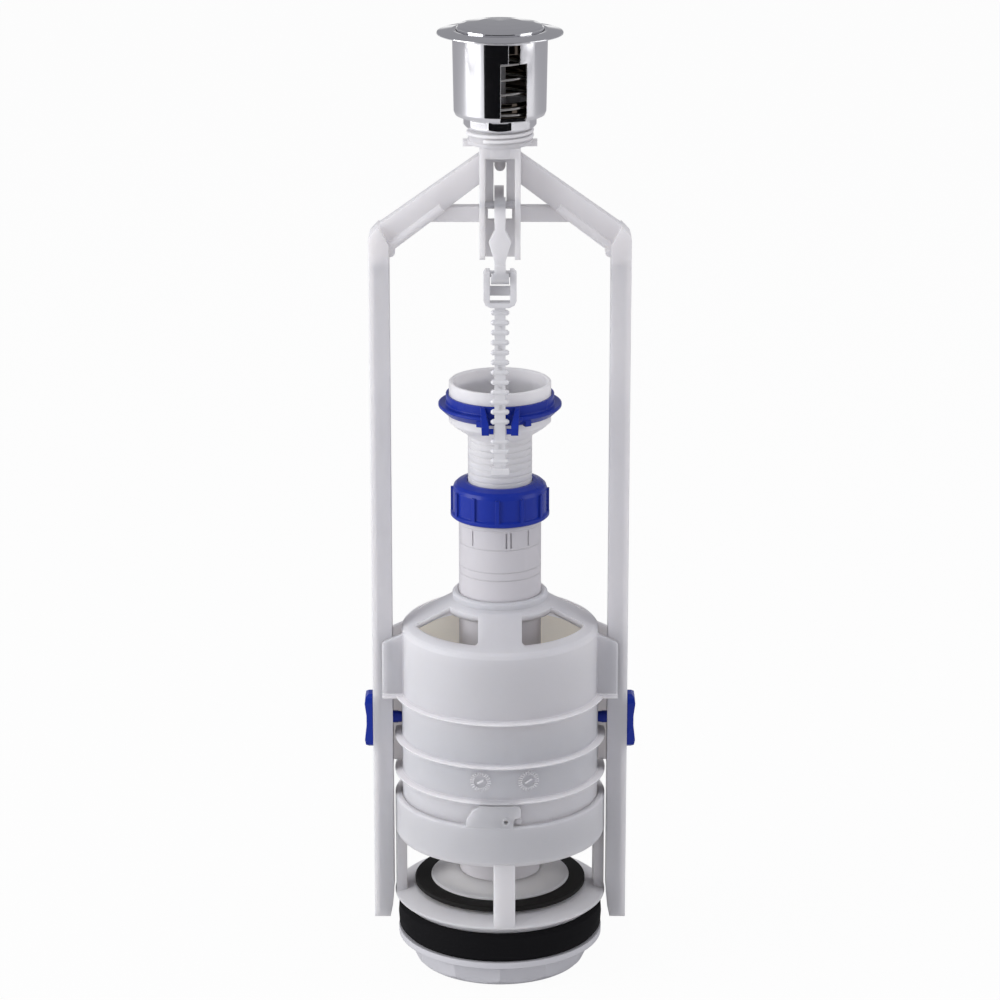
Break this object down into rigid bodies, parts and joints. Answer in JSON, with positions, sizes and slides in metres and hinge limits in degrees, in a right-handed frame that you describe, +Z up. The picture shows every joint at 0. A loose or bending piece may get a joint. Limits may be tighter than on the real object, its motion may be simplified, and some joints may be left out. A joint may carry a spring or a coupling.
{
  "type": "toilet flush valve",
  "caption": "Bow-framed cistern flush valve: chrome push button, rocker and strap lift an overflow tube off its seat in a drum basket.",
  "frame": {"origin": "centre of the outlet stub's lower end, on the valve's axis", "axes": "+Z up along the valve's axis, -Y towards the strap at the front, +X to the viewer's right"},
  "size_m": [0.1098, 0.0862, 0.39],
  "materials": {
    "milky_plastic": "milky satin",
    "white_plastic": "satin",
    "blue_plastic": "satin",
    "black_rubber": "matte",
    "chrome": "mirror",
    "spring_steel": "bright wire"
  },
  "bodies": {
    "seat": {"seat_basket": "milky_plastic", "tank_gasket": "black_rubber"},
    "ring_nut": {"ring_nut": "white_plastic"},
    "drum_unit": {"drum": "white_plastic", "bow_frame": "milky_plastic", "rocker_pin": "milky_plastic", "threaded_sleeve": "chrome", "button_housing": "chrome", "button_spring": "spring_steel"},
    "flush_tube": {"lower_tube": "white_plastic", "valve_disc": "white_plastic", "seal_washer": "black_rubber", "float_cup": "white_plastic", "tube_seal": "black_rubber", "upper_tube": "white_plastic", "strap_ring": "blue_plastic"},
    "clamp_nut": {"clamp_nut": "blue_plastic"},
    "strap": {"lift_strap": "white_plastic"},
    "rocker": {"rocker": "milky_plastic"},
    "button": {"push_button": "chrome", "push_rod": "milky_plastic"},
    "lock_pin_left": {"lock_pin_left": "blue_plastic"},
    "lock_pin_right": {"lock_pin_right": "blue_plastic"}
  },
  "joints": [
    {"name": "drum_bayonet", "type": "hinge", "parent": "seat", "child": "drum_unit", "pos_m": [0, 0, 0.057], "axis": [0, 0, 1], "range_deg": [0, 25]},
    {"name": "ring_nut_turn", "type": "hinge", "parent": "seat", "child": "ring_nut", "pos_m": [0, 0, 0.007], "axis": [0, 0, 1], "continuous": true},
    {"name": "flush_lift", "type": "slide", "parent": "drum_unit", "child": "flush_tube", "axis": [0, 0, 1], "range_m": [0, 0.01]},
    {"name": "clamp_nut_turn", "type": "hinge", "parent": "flush_tube", "child": "clamp_nut", "pos_m": [0, 0, 0.198], "axis": [0, 0, 1], "continuous": true},
    {"name": "strap_tilt", "type": "hinge", "parent": "flush_tube", "child": "strap", "pos_m": [0, -0.0242, 0.2324], "axis": [1, 0, 0], "range_deg": [0, 7.9]},
    {"name": "rocker_turn", "type": "hinge", "parent": "drum_unit", "child": "rocker", "pos_m": [0, -0.008, 0.3194], "axis": [-1, 0, 0], "range_deg": [0, 25.9]},
    {"name": "button_press", "type": "slide", "parent": "drum_unit", "child": "button", "axis": [0, 0, -1], "range_m": [0, 0.0107], "stiffness_N_per_m": 150, "springref_m": -0.006, "deforming": ["button_spring"]},
    {"name": "lock_pin_left_pull", "type": "slide", "parent": "drum_unit", "child": "lock_pin_left", "axis": [-1, 0, 0], "range_m": [0, 0.012]},
    {"name": "lock_pin_right_pull", "type": "slide", "parent": "drum_unit", "child": "lock_pin_right", "axis": [1, 0, 0], "range_m": [0, 0.012]}
  ],
  "couplings": [
    {"joint": "strap_tilt", "follows": "flush_lift", "rad_per_m": 13.61},
    {"joint": "rocker_turn", "follows": "flush_lift", "rad_per_m": 45.06},
    {"joint": "button_press", "follows": "flush_lift", "ratio": 1.06}
  ]
}
